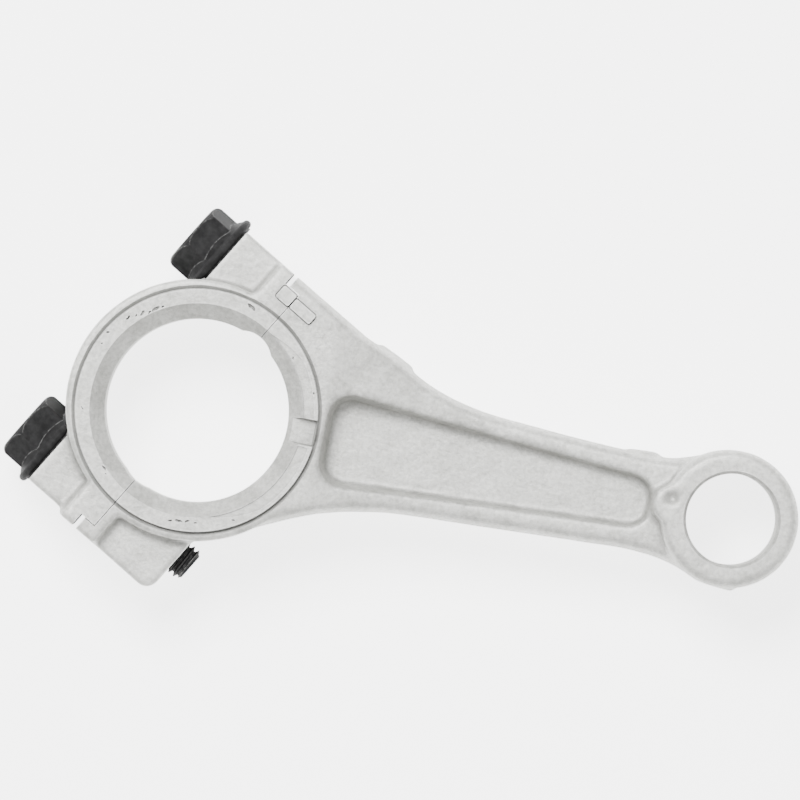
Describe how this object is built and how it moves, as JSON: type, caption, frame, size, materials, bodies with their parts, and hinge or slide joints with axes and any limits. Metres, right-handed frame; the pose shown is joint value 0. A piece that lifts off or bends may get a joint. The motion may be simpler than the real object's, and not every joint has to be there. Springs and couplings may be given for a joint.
{
  "type": "connecting rod",
  "caption": "Cast aluminium connecting rod for a small engine, with an obliquely split big end, bolted bearing cap and plain bores.",
  "frame": {"origin": "centre of the bounding box's bottom face: the rod lies on its side, on the lower thrust face and the lower small-end face", "axes": "+X from the big end to the small end, +Z along both bores, +Y towards the ear whose bolt goes into the shank"},
  "size_m": [0.13, 0.0632, 0.022],
  "materials": {
    "rod_body": "die-cast aluminium, fine matte skin",
    "bearing_cap": "die-cast aluminium, fine matte skin",
    "upper_cap_bolt": "black oxide steel",
    "lower_cap_bolt": "black oxide steel"
  },
  "bodies": {
    "rod_body": {"rod_body": "rod_body"},
    "bearing_cap": {"bearing_cap": "bearing_cap"},
    "upper_cap_bolt": {"upper_cap_bolt": "upper_cap_bolt"},
    "lower_cap_bolt": {"lower_cap_bolt": "lower_cap_bolt"}
  },
  "joints": [
    {"name": "cap_lift", "type": "slide", "parent": "rod_body", "child": "bearing_cap", "axis": [-0.866, 0.5, 0], "range_m": [0, 0.025]},
    {"name": "upper_bolt_unscrew", "type": "slide", "parent": "bearing_cap", "child": "upper_cap_bolt", "axis": [-0.866, 0.5, 0], "range_m": [0, 0.032]},
    {"name": "lower_bolt_unscrew", "type": "slide", "parent": "bearing_cap", "child": "lower_cap_bolt", "axis": [-0.866, 0.5, 0], "range_m": [0, 0.032]}
  ]
}
